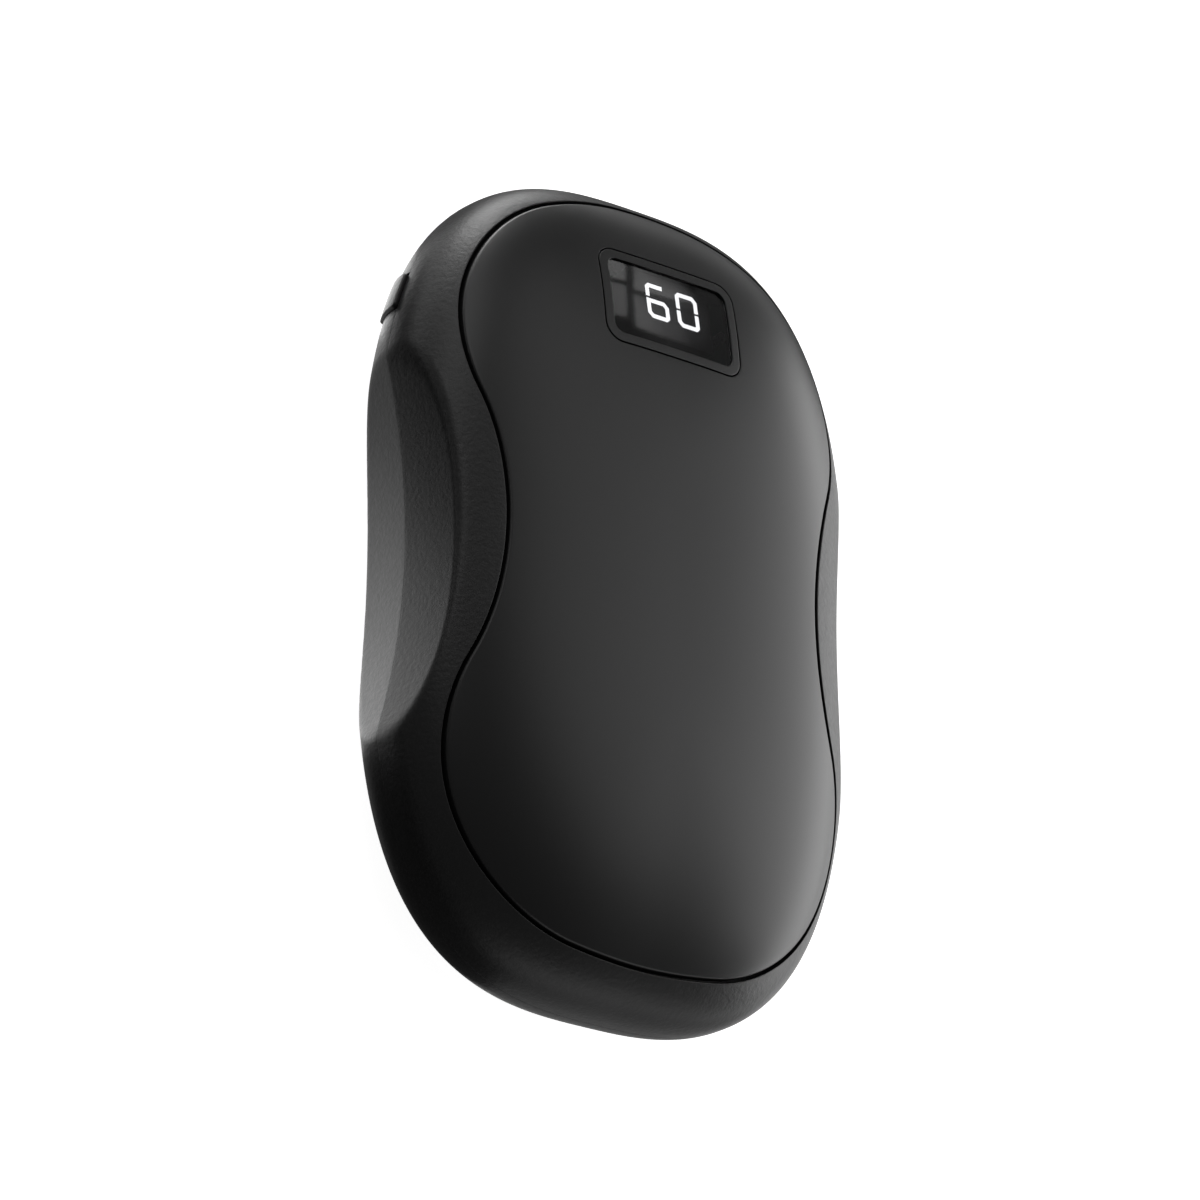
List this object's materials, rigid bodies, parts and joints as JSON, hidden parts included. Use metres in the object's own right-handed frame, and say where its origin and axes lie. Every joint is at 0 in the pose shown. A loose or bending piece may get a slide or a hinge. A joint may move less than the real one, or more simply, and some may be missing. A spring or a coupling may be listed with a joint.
{
  "type": "rechargeable hand warmer",
  "caption": "Palm-sized pebble-shaped electric hand warmer with a waisted heat panel, finger scoops, a digit display, a side power button and a charging socket.",
  "frame": {"origin": "centre of the flat land on the back, on which the warmer lies", "axes": "+Z out of the heat panel, +Y towards the display end, +X to the right as the panel is read"},
  "size_m": [0.0644, 0.1, 0.0267],
  "materials": {
    "shell": "soft-touch black with a fine grain",
    "panel": "soft-touch black coating over a heat plate",
    "bezel": "soft-touch black",
    "lens": "polished smoked window",
    "module": "black potted display block",
    "lit_segment": "lit white segment",
    "dark_segment": "unlit segment",
    "board": "green solder mask",
    "steel": "bright plated steel",
    "moulding": "black moulding",
    "plug": "natural white moulding",
    "button": "soft-touch black with a fine grain",
    "plunger": "pale moulding",
    "cell": "silver pouch foil",
    "lead": "red insulation",
    "film": "amber heater and ribbon film",
    "pad": "pale silicone foam",
    "bead": "black bead",
    "ferrite": "dark ferrite",
    "ceramic": "tan ceramic"
  },
  "bodies": {
    "housing": {"rear_shell": "shell", "front_shell": "shell", "front_panel": "panel", "display_bezel": "bezel", "display_lens": "lens", "display_module": "module", "lit_segments": "lit_segment", "dark_segments": "dark_segment", "display_board": "board", "main_board": "board", "battery_guard_board": "board", "display_screws": "steel", "board_screws": "steel", "shell_screws": "steel", "usb_receptacle": "steel", "usb_tongue": "moulding", "switch_body": "moulding", "battery_plug": "plug", "battery_cell": "cell", "battery_leads": "lead", "front_heater_leads": "lead", "rear_heater_leads": "lead", "display_ribbon": "film", "front_heater_film": "film", "rear_heater_film": "film", "front_insulation_pad": "pad", "rear_insulation_pad": "pad", "thermistor": "bead", "control_chips": "moulding", "power_inductor": "ferrite", "filter_capacitors": "ceramic"},
    "power_button": {"power_button": "button", "switch_plunger": "plunger"}
  },
  "joints": [
    {"name": "button_press", "type": "slide", "parent": "housing", "child": "power_button", "axis": [0.9467, -0.3221, 0], "range_m": [0, 0.0004], "stiffness_N_per_m": 4000}
  ]
}
